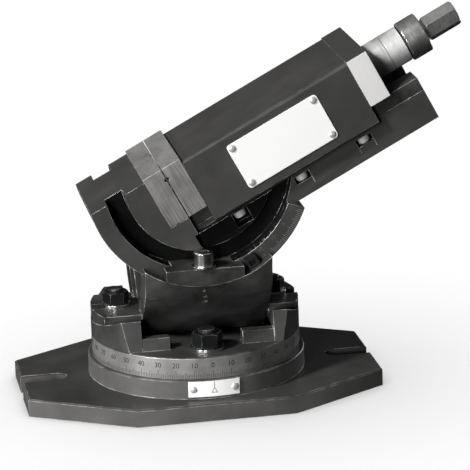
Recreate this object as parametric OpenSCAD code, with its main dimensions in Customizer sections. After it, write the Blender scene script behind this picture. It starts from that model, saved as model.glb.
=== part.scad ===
// Three-axis machine vise: swivel base, leaning cradle, tilting half-disc body, sliding jaw and screw.
// Millimetres. Origin at the centre of the base's underside, Z up, X along the base, Y away from the front.

/* [Base] */
// Length of the base plate over its slotted ends
base_length = 294; // [280:1:320]
// Width of the base plate across its middle
base_width = 206; // [196:1:230]
// Length of the straight front and rear edges
base_straight = 130; // [110:1:150]
// Width of the slotted ends
base_end_width = 105; // [90:1:120]
// Thickness of the base plate
base_thick = 14.6; // [12:0.2:17]
// Radius of the round boss under the turntable
boss_radius = 90; // [88.5:0.5:96]
// Height of the boss above the base plate
boss_rise = 15.8; // [14:0.2:20]
// Width of the open hold-down slots
slot_width = 17; // [12:0.5:20]
// Distance from the base centre to the closed end of a slot
slot_reach = 118; // [112:1:124]
// Bevel round the edges of the base plate
base_bevel = 1.2; // [0.5:0.1:2]

/* [Turntable] */
// Radius of the graduated turntable
table_radius = 86.4; // [85:0.2:88]
// Height of the graduated band
band_height = 17.9; // [16:0.1:21]
// Radius at which the two swivel bolts stand
swivel_bolt_radius = 62; // [61:0.5:64]
// Thread diameter of the swivel bolts
swivel_thread = 14; // [12:1:14]
// Radius of the pivot pin
pivot_radius = 14; // [10:0.5:18]
// Distance from the centre to the inner face of the left pad
pad_left = 52.6; // [49.6:0.2:54]
// Distance from the centre to the inner face of the right pad
pad_right = 56.4; // [56:0.1:57]
// Half length of a pad at its foot
pad_foot = 58.5; // [56:0.5:62]
// Half length of a pad at its top
pad_top = 52.7; // [50:0.1:55]
// Bevel round the top edges of the boss and the turntable
rim_bevel = 0.8; // [0.4:0.1:1.2]
// Half width of the pocket round a swivel nut
pocket_half = 31; // [24:1:40]

/* [Lean] */
// Height of the ring axis, which the cradle also leans about, above the base's underside
axis_height = 188.9; // [186:0.1:192]
// Height of the lowest line of the hollow seat above the turntable's top
seat_rise = 13; // [12:0.1:14]
// Half width of a cradle flange
flange_half = 33; // [28:0.5:36]
// Least thickness of a flange, at its long edges
flange_edge = 6.2; // [5:0.1:8]
// Distance from the centre to a clamp bolt
lean_bolt_x = 65.5; // [64:0.5:66.5]
// Thread diameter of the clamp bolts
lean_thread = 12; // [10:1:13]
// Lean to each side that the slots allow, in degrees
lean_limit = 10; // [5:0.5:10]

/* [Cradle] */
// Reach of the cradle's walls to the left of the centre
wall_left = 48.6; // [46:0.2:49]
// Reach of the cradle's walls to the right, past the index block
wall_right = 55.4; // [53:0.2:55.6]
// Length of the slanting faces at the wall corners
slant_run = 16.5; // [12:0.5:18]
// Thickness of a wall at its top, measured from the side of the ring body
wall_thick = 17.7; // [16:0.1:20]
// How far a wall's outer face leans in from its top to its knee
wall_batter = 3.5; // [1:0.5:5]
// Depth below the ring axis at which the walls turn inwards
knee_drop = 98; // [94:0.5:100]
// Distance from the centre plane to the foot of a wall's outer face
wall_foot = 16.5; // [12:0.5:17]
// Depth that the ends of the core stand back from the walls
core_recess = 3.5; // [2:0.5:6]
// Radius of the wall tops that stand outside the ring
lip_radius = 87.2; // [85:0.1:88.5]
// Depth of the slanting faces at the wall corners
corner_slant = 4; // [2:0.5:6]

/* [Clamp blocks] */
// Half length of a clamp block
block_half = 32; // [26:0.5:36]
// Depth of the flat top of a block below the ring axis
block_drop = 72.6; // [72:0.1:74]
// Distance from the side of the ring body to a clamp screw
clamp_screw_out = 9.2; // [9:0.1:10]
// Thread diameter of the clamp screws
clamp_thread = 10; // [8:1:10]

/* [Ring body] */
// Outer radius of the ring
ring_radius = 91.9; // [91:0.1:92.5]
// Inner radius of the ring's rim
rim_inner = 77.3; // [76.9:0.1:78]
// Radius of the round face inside the groove
disc_radius = 61.5; // [58:0.5:64]
// Depth of the groove between rim and round face
groove_depth = 17; // [14:0.5:18]
// Angle below level of the ring's cut end
ring_end_angle = 48.3; // [44:0.1:50]
// Height of the body's top above the ring axis
body_top = 19; // [16:0.2:20]
// Tilt of the vise in the stored pose, in degrees
tilt = 27.5; // [0:0.5:60]

/* [Bed] */
// Distance from the ring axis to the end of the bed
bed_end = 193; // [188:1:205]
// Depth of the bed's underside below the ring axis
bed_bottom = 63.5; // [62:0.5:68]
// Depth of the rail seats below the ring axis
rail_seat = 36.8; // [36:0.1:38]
// Depth of the rails' tops below the ring axis
rail_top = 25; // [24:0.1:26]
// Half distance between the rails
rail_inner = 18.2; // [17:0.1:20]
// Distance between the rail screws
rail_screw_pitch = 58.5; // [54:0.5:59]

/* [Jaws] */
// Width of the jaw plates, which the body and the bed follow
jaw_width = 100; // [98:0.5:102]
// How far the jaw plates stand out past each side of the body
plate_proud = 0.2; // [0.1:0.1:0.5]
// Height of the jaw plates above the ring axis
jaw_top = 21.6; // [20:0.1:24]
// Thickness of each jaw plate
jaw_thick = 16.9; // [14:0.1:18]
// Distance from the ring axis to the parting plane of the jaws
parting = 23.2; // [22:0.1:26]
// Gap between the jaw plates in the stored pose
jaw_gap = 0.6; // [0.4:0.1:1]
// Length of the movable jaw behind its plate
slide_length = 154; // [150:0.5:156]
// How far each side of the movable jaw stands back from its plate
slide_inset = 0.7; // [0.2:0.1:1.5]
// Thickness of the movable jaw's skirts beside the bed
skirt_thick = 7; // [6:0.5:9]
// Height of the movable jaw above the ring axis
slide_top = 18; // [16:0.2:20]
// Depth of the movable jaw's skirts below the ring axis
skirt_bottom = 40.8; // [39:0.1:41.2]
// Length of the screw nut's foot; what the jaw leaves beside it is the travel
nut_foot = 42; // [38:1:48]

/* [Screw] */
// Depth of the screw's centre below the ring axis
screw_drop = 6.8; // [6:0.1:8]
// Outer diameter of the screw's thread
screw_thread = 18; // [16:1:18]
// Diameter of the screw's journal
journal_d = 20; // [19:0.5:22]
// Thickness of the thrust bracket
bracket_thick = 18.6; // [16:0.2:20]
// Length of the bearing sleeve
sleeve_length = 34; // [28:1:38]
// Outer diameter of the bearing sleeve
sleeve_d = 31; // [29:0.5:33]
// Outer diameter of the screw's collar
collar_d = 34.4; // [32:0.2:36]
// Length of the screw's collar
collar_length = 17.8; // [14:0.2:20]
// Distance across the flats of the screw's hexagon
hex_flats = 19; // [17:1:22]
// Length of the screw's hexagon
hex_length = 29; // [24:1:34]

/* [Plates and pointer] */
// Length of the name plate
name_length = 83.6; // [70:0.2:90]
// Height of the name plate
name_height = 41; // [30:0.5:44]
// Distance from the ring axis to the near edge of the name plate
name_start = 30.6; // [24:0.2:40]
// Length of the index plate
index_length = 42; // [30:1:50]
// Height of the index plate
index_height = 13; // [10:0.5:14]

/* [Hidden] */

$fn = 72;
// Clearances: flat or curved sliding faces, a turning shaft in its bore, a bolt in its hole
slide_gap = 0.3;
shaft_gap = 0.05;
bolt_gap = 0.5;
cut = 1;

casting = [0.24, 0.24, 0.23];
machined = [0.62, 0.61, 0.60];
steel = [0.80, 0.80, 0.79];
blacked = [0.10, 0.11, 0.11];
bright = [0.90, 0.90, 0.89];

// Widths that follow the jaw plates
body_width = jaw_width - 2 * plate_proud;
slide_width = jaw_width - 2 * slide_inset;
bed_half = slide_width / 2 - skirt_thick - slide_gap;

// Heights above the base's underside
boss_top = base_thick + boss_rise;
table_top = boss_top + band_height;
step_top = table_top + 10;
lean_radius = axis_height - table_top - seat_rise;
pad_lean = (pad_foot - pad_top) / (pad_peak() - table_top);
function pad_peak() = axis_height - sqrt(pow(lean_radius, 2) - pow(pad_top, 2));

// Swivel bolts in the base's ring-shaped T-slot
t_head_d = 25;
t_head_h = 8;
t_floor = 9;
t_roof = boss_top - 9;
washer_h = 2.5;
swivel_nut_flats = 22;
swivel_nut_h = 12;

// Lean bolts
flange_bottom_r = lean_radius - slide_gap;
flange_edge_z = axis_height - sqrt(pow(flange_bottom_r, 2) - pow(flange_half, 2));
flange_top_z = flange_edge_z + flange_edge;
lean_nut_flats = 19;
lean_nut_h = 10;
lean_head = 19;
lean_head_h = 7;
lean_roof_r = lean_radius + 12.3;
lean_slot_half = (lean_roof_r + 1) * sin(lean_limit) + lean_thread / 2 + bolt_gap;
lean_pocket_half = (lean_roof_r + lean_head_h + 1) * sin(lean_limit) + lean_head / 2 + bolt_gap;
cradle_bottom_r = axis_height - table_top - 0.8;

// Ring, groove and clamp blocks
seat_radius = ring_radius + slide_gap;
lip_inner = body_width / 2 + slide_gap;
wall_top = body_width / 2 + wall_thick;
wall_knee = wall_top - wall_batter;
clamp_screw_y = body_width / 2 + clamp_screw_out;
rim_mid = (ring_radius + rim_inner) / 2;
block_top = axis_height - block_drop;
block_front = wall_top - 1.5;
block_back = body_width / 2 - groove_depth + 0.6;
clamp_head_d = 16;
clamp_head_h = 11;
clamp_washer_d = 20;

// Fixed jaw, bed and rails, measured from the ring axis along the vise
fixed_face = -parting - jaw_gap / 2;
fixed_back = fixed_face - jaw_thick;
shelf_end = fixed_face - 0.3;
slide_face = -parting + jaw_gap / 2;
slide_start = slide_face + jaw_thick;
slide_end = slide_start + slide_length;
plate_bottom = rail_top - slide_gap;
skirt_inner = bed_half + slide_gap;
wall_front = 19.5;
bracket_screw_y = slide_width / 2 - 13.3;
hollow_half = bracket_screw_y - 8;
hollow_top = 7.4;
rail_screw_y = bed_half - 6;
channel_half = rail_screw_y - 10;
keeper_top = rail_seat + slide_gap;
keeper_h = 7.5;
channel_floor = keeper_top + keeper_h + 2;
keeper_start = slide_start + 1.8;
keeper_end = slide_start + wall_front + 5;
nut_start = slide_end - 3.5 - nut_foot;
channel_end = nut_start - 2;
// Greatest opening of the jaws, 80 here: the keeper then stands 2 from the end of its channel
jaw_travel = channel_end - 2 - keeper_end;
rail_screw_first = 14;
m6_head_d = 10;
m6_head_h = 6;
m8 = 8;
m8_hole = 8.6;
m8_head_d = 13;
m8_head_h = 8;
m8_sink = 8.5;
jaw_screw_y = jaw_width / 4;
jaw_screw_z = -2;
jaw_screw_seat = 10;
jaw_screw_length = 20;
bracket_screw_z = [-10, 9];
bracket_screw_length = 24;

// Screw, nut and bracket
nut_foot_h = 8;
nut_tower = 22;
bracket_end = slide_end + bracket_thick;
sleeve_end = bracket_end + sleeve_length;
thrust_washer_h = 1.4;
collar_start = sleeve_end + thrust_washer_h;
hex_start = collar_start + collar_length + 2.3;
thrust_ring_r = 13;
thrust_ring_h = 8;
screw_tip = slide_start + wall_front + 11;

// A flat outline in X and Z, drawn out along Y about the centre plane
module along_y(width) {
    rotate([90, 0, 0]) translate([0, 0, -width / 2]) linear_extrude(width) children();
}

// A flat outline in Y and Z, drawn out along X about the centre plane
module along_x(width) {
    rotate([90, 0, 90]) translate([0, 0, -width / 2]) linear_extrude(width) children();
}

module rod_x(radius, length) {
    rotate([0, 90, 0]) cylinder(r = radius, h = length);
}

module rod_y(radius, length) {
    rotate([90, 0, 0]) cylinder(r = radius, h = length, center = true);
}

// A cylinder along X about the lean axis
module lean_cylinder(radius, half) {
    translate([-half, 0, axis_height]) rod_x(radius, 2 * half);
}

// Carries a shape from the vise's own frame to its stored, tilted place
module in_vise() {
    translate([0, 0, axis_height]) rotate([0, -tilt, 0]) children();
}

module both_sides() {
    children();
    mirror([0, 1, 0]) children();
}

module both_ends() {
    children();
    mirror([1, 0, 0]) children();
}

// Socket head screw, head upwards, with the underside of its head at the origin
module socket_screw(thread, head_d, head_h, length) {
    difference() {
        union() {
            cylinder(d = head_d, h = head_h - 0.8);
            translate([0, 0, head_h - 0.8]) cylinder(d1 = head_d, d2 = head_d - 1.6, h = 0.8, $fn = 48);
            translate([0, 0, -length]) cylinder(d = thread, h = length + 0.1);
        }
        translate([0, 0, head_h * 0.45]) cylinder(d = thread * 0.9, h = head_h, $fn = 6);
    }
}

module washer(inner, outer, height) {
    difference() {
        cylinder(d = outer, h = height);
        translate([0, 0, -cut]) cylinder(d = inner, h = height + 2 * cut);
    }
}

// Hexagon nut with the corners of its top and bottom turned off
module hex_nut(flats, thread, height) {
    corner = flats / cos(30);
    difference() {
        intersection() {
            cylinder(d = corner, h = height, $fn = 6);
            union() {
                cylinder(d1 = flats, d2 = corner + 0.02, h = 1.3, $fn = 48);
                translate([0, 0, 1.3]) cylinder(d = corner + 0.02, h = height - 2.6);
                translate([0, 0, height - 1.3]) cylinder(d1 = corner + 0.02, d2 = flats, h = 1.3, $fn = 48);
            }
        }
        translate([0, 0, -cut]) cylinder(d = thread + 2 * shaft_gap, h = height + 2 * cut);
    }
}

module base_outline(inset) {
    hx = base_straight / 2 - inset * 0.55;
    ex = base_length / 2 - inset;
    hy = base_width / 2 - inset;
    ey = base_end_width / 2 - inset * 0.55;
    polygon([[-hx, -hy], [hx, -hy], [ex, -ey], [ex, ey], [hx, hy], [-hx, hy], [-ex, ey], [-ex, -ey]]);
}

module base_plate() {
    color(casting) difference() {
        union() {
            linear_extrude(base_thick - base_bevel) base_outline(0);
            hull() {
                translate([0, 0, base_thick - base_bevel - 0.01]) linear_extrude(0.01) base_outline(0);
                translate([0, 0, base_thick - 0.01]) linear_extrude(0.01) base_outline(base_bevel);
            }
            translate([0, 0, base_thick - cut]) cylinder(r = boss_radius, h = boss_rise - rim_bevel + cut);
            translate([0, 0, boss_top - rim_bevel])
                cylinder(r1 = boss_radius, r2 = boss_radius - rim_bevel, h = rim_bevel);
        }
        // Open hold-down slots at both ends
        both_ends() translate([slot_reach, 0, -cut]) {
            cylinder(d = slot_width, h = base_thick + 2 * cut);
            translate([0, -slot_width / 2, 0]) cube([base_length, slot_width, base_thick + 2 * cut]);
        }
        // Ring-shaped T-slot for the swivel bolts, with a round entry from below
        translate([0, 0, t_roof - cut]) difference() {
            cylinder(r = swivel_bolt_radius + swivel_thread / 2 + bolt_gap, h = boss_rise + 2 * cut);
            cylinder(r = swivel_bolt_radius - swivel_thread / 2 - bolt_gap, h = boss_rise + 2 * cut);
        }
        translate([0, 0, t_floor]) difference() {
            cylinder(r = swivel_bolt_radius + t_head_d / 2 + 1, h = t_roof - t_floor);
            cylinder(r = swivel_bolt_radius - t_head_d / 2 - 1, h = t_roof - t_floor);
        }
        translate([swivel_bolt_radius, 0, -cut]) cylinder(d = t_head_d + 1, h = t_roof);
        translate([0, 0, 4]) cylinder(r = pivot_radius, h = boss_top);
    }
}

module pivot_pin() {
    color(steel) translate([0, 0, 4]) cylinder(r = pivot_radius, h = table_top - 6);
}

module index_plate() {
    color(bright) translate([0, 0, boss_top - rim_bevel - index_height]) intersection() {
        difference() {
            cylinder(r = boss_radius + 0.9, h = index_height);
            translate([0, 0, -cut]) cylinder(r = boss_radius, h = index_height + 2 * cut);
        }
        translate([-index_length / 2, -boss_radius - 5, 0]) cube([index_length, 20, index_height]);
    }
}

module index_plate_rivets() {
    span = asin((index_length / 2 - 4) / boss_radius);
    color(steel) for (side = [-1, 1]) {
        rotate([0, 0, side * span])
            translate([0, -boss_radius - 0.9, boss_top - rim_bevel - index_height / 2])
            rotate([90, 0, 0]) cylinder(d1 = 3, d2 = 2, h = 0.7, $fn = 32);
    }
}

// One side's half of a pad: the outline of its leaning front and hollow top, along X
module pad_outline(top) {
    half = pad_foot - pad_lean * (top - table_top);
    polygon([[-pad_foot, table_top - cut], [-pad_foot, table_top], [-half, top], [half, top],
        [pad_foot, table_top], [pad_foot, table_top - cut]]);
}

module pad(inner) {
    translate([inner + table_radius / 2, 0, 0]) along_x(table_radius) pad_outline(pad_peak());
}

module low_step(inner) {
    translate([(pocket_half + inner) / 2, 0, 0]) along_x(inner - pocket_half + 2 * cut) pad_outline(step_top);
}

module turntable() {
    color(casting) difference() {
        union() {
            translate([0, 0, boss_top]) cylinder(r = table_radius, h = band_height - rim_bevel);
            translate([0, 0, table_top - rim_bevel])
                cylinder(r1 = table_radius, r2 = table_radius - rim_bevel, h = rim_bevel);
            intersection() {
                cylinder(r = table_radius, h = pad_peak() + 10);
                union() {
                    pad(pad_right);
                    mirror([1, 0, 0]) pad(pad_left);
                }
            }
            // Low steps that bound the pockets round the swivel nuts
            intersection() {
                union() {
                    low_step(pad_right);
                    mirror([1, 0, 0]) low_step(pad_left);
                }
                both_sides() translate([-table_radius, -table_radius, 0])
                    cube([2 * table_radius, table_radius - 47, step_top]);
            }
        }
        lean_cylinder(lean_radius, table_radius + cut);
        translate([0, 0, -cut]) cylinder(r = pivot_radius + shaft_gap, h = table_top + 2 * cut);
        both_sides() translate([0, -swivel_bolt_radius, -cut])
            cylinder(d = swivel_thread + 2 * bolt_gap, h = table_top + 3 * cut);
        // Slot and undercut pocket for each lean bolt
        both_ends() translate([lean_bolt_x, 0, 0]) {
            translate([-lean_thread / 2 - bolt_gap, -lean_slot_half, boss_top - cut])
                cube([lean_thread + 2 * bolt_gap, 2 * lean_slot_half, lean_radius]);
            difference() {
                translate([-lean_head / 2 - bolt_gap, -lean_pocket_half, boss_top - cut])
                    cube([lean_head + 2 * bolt_gap, 2 * lean_pocket_half, band_height + 8]);
                translate([-lean_bolt_x, 0, 0]) lean_cylinder(lean_roof_r, table_radius);
            }
        }
    }
}

module swivel_bolts() {
    shank = table_top + washer_h + swivel_nut_h + 2.5 - t_roof;
    color(steel) both_sides() translate([0, -swivel_bolt_radius, 0]) {
        translate([0, 0, t_roof - t_head_h]) cylinder(d = t_head_d, h = t_head_h);
        translate([0, 0, t_roof - cut]) cylinder(d = swivel_thread, h = shank + cut);
    }
}

module swivel_washers() {
    color(bright) both_sides() translate([0, -swivel_bolt_radius, table_top])
        washer(swivel_thread + bolt_gap, swivel_thread * 2, washer_h);
}

module swivel_nuts() {
    color(blacked) both_sides() translate([0, -swivel_bolt_radius, table_top + washer_h])
        hex_nut(swivel_nut_flats, swivel_thread, swivel_nut_h);
}

// Outline of the cradle's walls and core in Y and Z
module cradle_section() {
    top = axis_height - 66;
    knee = axis_height - knee_drop;
    polygon([[-wall_foot, table_top], [-wall_knee, knee], [-wall_top, top], [wall_top, top],
        [wall_knee, knee], [wall_foot, table_top]]);
}

// Outline of the set-back ends between the walls
module core_section() {
    polygon([[-11, flange_top_z - 5], [-lip_inner, axis_height - 76], [-lip_inner, axis_height],
        [lip_inner, axis_height], [lip_inner, axis_height - 76], [11, flange_top_z - 5]]);
}

// A flange at one end; reach is how far the walls go at that end
module flange(reach) {
    slot = lean_thread + 2 * bolt_gap;
    difference() {
        intersection() {
            cylinder(r = table_radius - 0.2, h = axis_height);
            translate([reach - core_recess - 6, -flange_half, 0])
                cube([table_radius, 2 * flange_half, flange_top_z]);
            lean_cylinder(flange_bottom_r, table_radius);
        }
        // Open-ended slot that the clamp bolt slips into from the side
        translate([lean_bolt_x, 0, 0]) cylinder(d = slot, h = axis_height);
        translate([lean_bolt_x, -slot / 2, 0]) cube([table_radius, slot, axis_height]);
    }
}

// What is cut from one end: the set-back core above the flange, and the slanting wall corners
module end_cuts(reach) {
    difference() {
        translate([reach - core_recess / 2 + cut / 2, 0, 0]) along_x(core_recess + cut) core_section();
        flange(reach);
    }
    // One wedge follows the upper face of the wall and one the undercut face below its knee
    knee = axis_height - knee_drop;
    upper = atan2(wall_top - wall_knee, axis_height - 70 - knee);
    lower = atan2(wall_knee - wall_foot, knee - table_top);
    both_sides() translate([reach, -wall_knee, knee]) {
        rotate([upper, 0, 0]) corner_wedge(-2, 70);
        rotate([lower, 0, 0]) corner_wedge(-90, 7);
    }
}

module corner_wedge(low, high) {
    translate([0, 0, low]) linear_extrude(high - low)
        polygon([[-slant_run, 0], [-slant_run, -5], [cut, -5], [cut, corner_slant]]);
}

module cradle() {
    color(casting) difference() {
        union() {
            intersection() {
                translate([(wall_right - wall_left) / 2, 0, 0]) along_x(wall_right + wall_left) cradle_section();
                lean_cylinder(cradle_bottom_r, wall_right + wall_left);
            }
            flange(wall_right);
            mirror([1, 0, 0]) flange(wall_left);
        }
        // Seat for the ring, and the tops of the walls outside it
        translate([0, 0, axis_height]) {
            rod_y(seat_radius, 2 * lip_inner);
            rod_y(lip_radius, 3 * wall_top);
        }
        end_cuts(wall_right);
        mirror([1, 0, 0]) end_cuts(wall_left);
        // Tapped holes of the clamp screws; their drill point breaks out of the undercut face
        both_sides() translate([0, -clamp_screw_y, axis_height - knee_drop]) {
            cylinder(d = clamp_thread, h = knee_drop);
            translate([0, 0, -clamp_thread]) cylinder(d = clamp_thread * 0.4, h = 2 * clamp_thread);
        }
    }
}

module lean_bolts() {
    color(steel) both_ends() translate([lean_bolt_x, 0, 0]) {
        translate([-lean_head / 2, -lean_head / 2, axis_height - lean_roof_r - slide_gap - lean_head_h])
            cube([lean_head, lean_head, lean_head_h]);
        translate([0, 0, axis_height - lean_roof_r - cut])
            cylinder(d = lean_thread, h = flange_top_z + washer_h + lean_nut_h + 3 - axis_height + lean_roof_r);
    }
}

module lean_washers() {
    color(bright) both_ends() translate([lean_bolt_x, 0, flange_top_z])
        washer(lean_thread + bolt_gap, lean_thread * 2, washer_h);
}

module lean_nuts() {
    color(blacked) both_ends() translate([lean_bolt_x, 0, flange_top_z + washer_h])
        hex_nut(lean_nut_flats, lean_thread, lean_nut_h);
}

// A clamp block: its foot stands on the wall outside the ring, its toe reaches into the groove over the rim
module clamp_block() {
    difference() {
        union() {
            intersection() {
                translate([-block_half, -block_front, axis_height - lip_radius])
                    cube([2 * block_half, block_front - lip_inner, lip_radius - block_drop]);
                translate([0, 0, axis_height]) rod_y(lip_radius - 0.02, 3 * wall_top);
            }
            intersection() {
                translate([-block_half, -lip_inner - cut, axis_height - lip_radius])
                    cube([2 * block_half, lip_inner - block_back + cut, lip_radius - block_drop]);
                translate([0, 0, axis_height]) rod_y(rim_inner - slide_gap, 3 * wall_top);
            }
        }
        translate([0, -clamp_screw_y, 0]) cylinder(d = clamp_thread + bolt_gap, h = axis_height);
    }
}

module clamp_block_front() {
    color(casting) clamp_block();
}

module clamp_block_rear() {
    color(casting) mirror([0, 1, 0]) clamp_block();
}

module clamp_washers() {
    color(bright) both_sides() translate([0, -clamp_screw_y, block_top])
        washer(clamp_thread + bolt_gap, clamp_washer_d, 2);
}

module clamp_screws() {
    color(bright) both_sides() translate([0, -clamp_screw_y, block_top + 2])
        socket_screw(clamp_thread, clamp_head_d, clamp_head_h, knee_drop - block_drop + 1.5);
}

// Index block beside the ring's scale, on the front wall
module tilt_pointer() {
    color(casting) translate([0, 0, axis_height]) difference() {
        intersection() {
            rotate([0, -29, 0]) translate([-5, -wall_top + 8, -lip_radius - 2])
                cube([10, wall_top - 8 - lip_inner, 11]);
            rod_y(lip_radius - 0.02, 3 * wall_top);
        }
        rotate([0, -29, 0]) translate([-2.5, -wall_top + 7, -lip_radius + 2.5]) cube([5, 4, 4]);
    }
}

// Side outline of the ring, round face and fixed jaw, in the vise's own frame
module ring_outline() {
    far = 2 * ring_radius;
    difference() {
        circle(r = ring_radius, $fn = 180);
        translate([-far, body_top]) square([2 * far, far]);
        translate([shelf_end, -skirt_bottom - slide_gap]) square([far, far]);
        // Cut end of the ring, outside the round face
        difference() {
            rotate(-ring_end_angle) square([far, far]);
            circle(r = disc_radius, $fn = 180);
        }
    }
}

module vise_body() {
    color(casting) in_vise() difference() {
        union() {
            along_y(body_width) ring_outline();
            translate([shelf_end - cut, -bed_half, -bed_bottom])
                cube([bed_end - shelf_end + cut, 2 * bed_half, bed_bottom - rail_seat]);
        }
        // Seat of the fixed jaw plate
        translate([fixed_back, -body_width, -rail_top]) cube([jaw_thick + cut, 2 * body_width, 2 * ring_radius]);
        // Groove on both faces
        both_sides() translate([0, -body_width / 2 - cut, 0]) rotate([-90, 0, 0]) difference() {
            cylinder(r = rim_inner, h = groove_depth + cut);
            translate([0, 0, -cut]) cylinder(r = disc_radius, h = groove_depth + 3 * cut);
        }
        // Channel that the keeper runs in
        translate([shelf_end + 1, -channel_half, -channel_floor])
            cube([channel_end - shelf_end - 1, 2 * channel_half, channel_floor]);
        // Side pockets and holes of the rail screws
        for (i = [0:2]) {
            both_sides() translate([rail_screw_first + i * rail_screw_pitch, 0, 0]) {
                translate([-7, -body_width, -rail_seat - 20]) cube([14, body_width - rail_screw_y + 6, 12]);
                translate([0, -rail_screw_y, -rail_seat - 10]) cylinder(d = 6 + bolt_gap, h = 20);
            }
        }
        for (x = [4.5, nut_foot - 4.5]) {
            translate([nut_start + x, 0, -rail_seat - 16]) cylinder(d = 6, h = 20);
        }
        both_sides() translate([fixed_back - 14, -jaw_screw_y, jaw_screw_z]) rod_x(m8 / 2, 20);
    }
}

module guide_rail() {
    difference() {
        translate([fixed_face, -bed_half, -rail_seat])
            cube([bed_end - fixed_face, bed_half - rail_inner, rail_seat - rail_top]);
        for (i = [0:2]) {
            translate([rail_screw_first + i * rail_screw_pitch, -rail_screw_y, -rail_seat - cut])
                cylinder(d = 6, h = 8 + cut);
        }
    }
}

module guide_rail_front() {
    color(machined) in_vise() guide_rail();
}

module guide_rail_rear() {
    color(machined) in_vise() mirror([0, 1, 0]) guide_rail();
}

module guide_rail_screws() {
    color(bright) in_vise() for (i = [0:2]) {
        both_sides() translate([rail_screw_first + i * rail_screw_pitch, -rail_screw_y, -rail_seat - 8])
            mirror([0, 0, 1]) socket_screw(6, m6_head_d, m6_head_h, 15);
    }
}

module spindle_nut() {
    tower = nut_start + (nut_foot - nut_tower) / 2;
    color(machined) in_vise() difference() {
        union() {
            translate([nut_start, -rail_inner + 0.5, -rail_seat])
                cube([nut_foot, 2 * rail_inner - 1, nut_foot_h]);
            translate([tower, -15, -rail_seat]) cube([nut_tower, 30, rail_seat - screw_drop]);
            translate([tower, 0, -screw_drop]) rod_x(13, nut_tower);
        }
        translate([nut_start - cut, 0, -screw_drop]) rod_x(screw_thread / 2 + shaft_gap, nut_foot + 2 * cut);
        for (x = [4.5, nut_foot - 4.5]) {
            translate([nut_start + x, 0, -rail_seat - cut]) cylinder(d = 6 + bolt_gap, h = 20);
            translate([nut_start + x, 0, -rail_seat + nut_foot_h - m6_head_h + 1])
                cylinder(d = m6_head_d + bolt_gap, h = 20);
        }
    }
}

module spindle_nut_screws() {
    color(steel) in_vise() for (x = [4.5, nut_foot - 4.5]) {
        translate([nut_start + x, 0, -rail_seat + nut_foot_h - m6_head_h + 1])
            socket_screw(6, m6_head_d, m6_head_h, 16);
    }
}

// A jaw plate with its gripping face at the origin plane and its back towards +X
module jaw_plate() {
    difference() {
        translate([0, -jaw_width / 2, -plate_bottom]) cube([jaw_thick, jaw_width, jaw_top + plate_bottom]);
        // Grooves across and down the gripping face for round work
        translate([0, 0, jaw_top - 10]) rotate([0, 45, 0]) cube([3.2, jaw_width + 2, 3.2], center = true);
        rotate([0, 0, 45]) cube([3.2, 3.2, 4 * jaw_width], center = true);
        both_sides() translate([-cut, -jaw_screw_y, jaw_screw_z]) {
            rod_x(m8_hole / 2, jaw_thick + 2 * cut);
            rod_x(m8_head_d / 2 + 0.3, jaw_screw_seat + cut);
        }
    }
}

module jaw_screw_pair() {
    both_sides() translate([jaw_screw_seat, -jaw_screw_y, jaw_screw_z]) rotate([0, -90, 0])
        socket_screw(m8, m8_head_d, m8_head_h, jaw_screw_length);
}

module fixed_jaw_plate() {
    color(machined) in_vise() translate([fixed_face, 0, 0]) mirror([1, 0, 0]) jaw_plate();
}

module fixed_jaw_screws() {
    color(steel) in_vise() translate([fixed_face, 0, 0]) mirror([1, 0, 0]) jaw_screw_pair();
}

module movable_jaw_plate() {
    color(machined) in_vise() translate([slide_face, 0, 0]) jaw_plate();
}

module movable_jaw_screws() {
    color(steel) in_vise() translate([slide_face, 0, 0]) jaw_screw_pair();
}

// End outline of the movable jaw, with rounded top edges and bevelled skirts
module slide_outline() {
    half = slide_width / 2;
    edge = 2.5;
    hull() {
        for (side = [-1, 1]) {
            translate([side * (half - edge), slide_top - edge]) circle(r = edge, $fn = 48);
        }
        translate([-half, -skirt_bottom + edge]) square([slide_width, edge]);
        translate([-half + edge, -skirt_bottom]) square([slide_width - 2 * edge, edge]);
    }
}

module movable_jaw() {
    color(casting) in_vise() difference() {
        union() {
            difference() {
                translate([slide_start + slide_length / 2, 0, 0]) along_x(slide_length) slide_outline();
                // The jaw straddles the rails
                translate([slide_start - cut, -skirt_inner, -2 * skirt_bottom])
                    cube([slide_length + 2 * cut, 2 * skirt_inner, 2 * skirt_bottom - plate_bottom]);
            }
            translate([keeper_start, -rail_inner + 0.6, -keeper_top])
                cube([wall_front - 2, 2 * rail_inner - 1.2, keeper_top - plate_bottom + cut]);
        }
        // Hollow over the nut, open at the bracket end
        translate([slide_start + wall_front, -hollow_half, -2 * skirt_bottom])
            cube([slide_length, 2 * hollow_half, 2 * skirt_bottom + hollow_top]);
        both_sides() translate([slide_start - cut, -jaw_screw_y, jaw_screw_z])
            rod_x(m8 / 2, jaw_screw_seat + jaw_screw_length - jaw_thick + 3.9);
        for (y = [-9, 9]) {
            translate([keeper_start + 9, y, -keeper_top - cut]) cylinder(d = 6, h = 14);
        }
        for (side = [-1, 1]) {
            for (z = bracket_screw_z) {
                translate([slide_end - 16, side * bracket_screw_y, z]) rod_x(m8 / 2, 20);
            }
        }
    }
}

module keeper_plate() {
    color(machined) in_vise() difference() {
        translate([keeper_start, -channel_half + 1, -keeper_top - keeper_h])
            cube([keeper_end - keeper_start, 2 * channel_half - 2, keeper_h]);
        for (y = [-9, 9]) {
            translate([keeper_start + 9, y, -keeper_top - keeper_h - cut]) {
                cylinder(d = 6 + bolt_gap, h = 20);
                cylinder(d = m6_head_d + bolt_gap, h = m6_head_h - 1 + cut);
            }
        }
    }
}

module keeper_screws() {
    color(steel) in_vise() for (y = [-9, 9]) {
        translate([keeper_start + 9, y, -keeper_top - keeper_h + m6_head_h - 1])
            mirror([0, 0, 1]) socket_screw(6, m6_head_d, m6_head_h, 12);
    }
}

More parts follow.
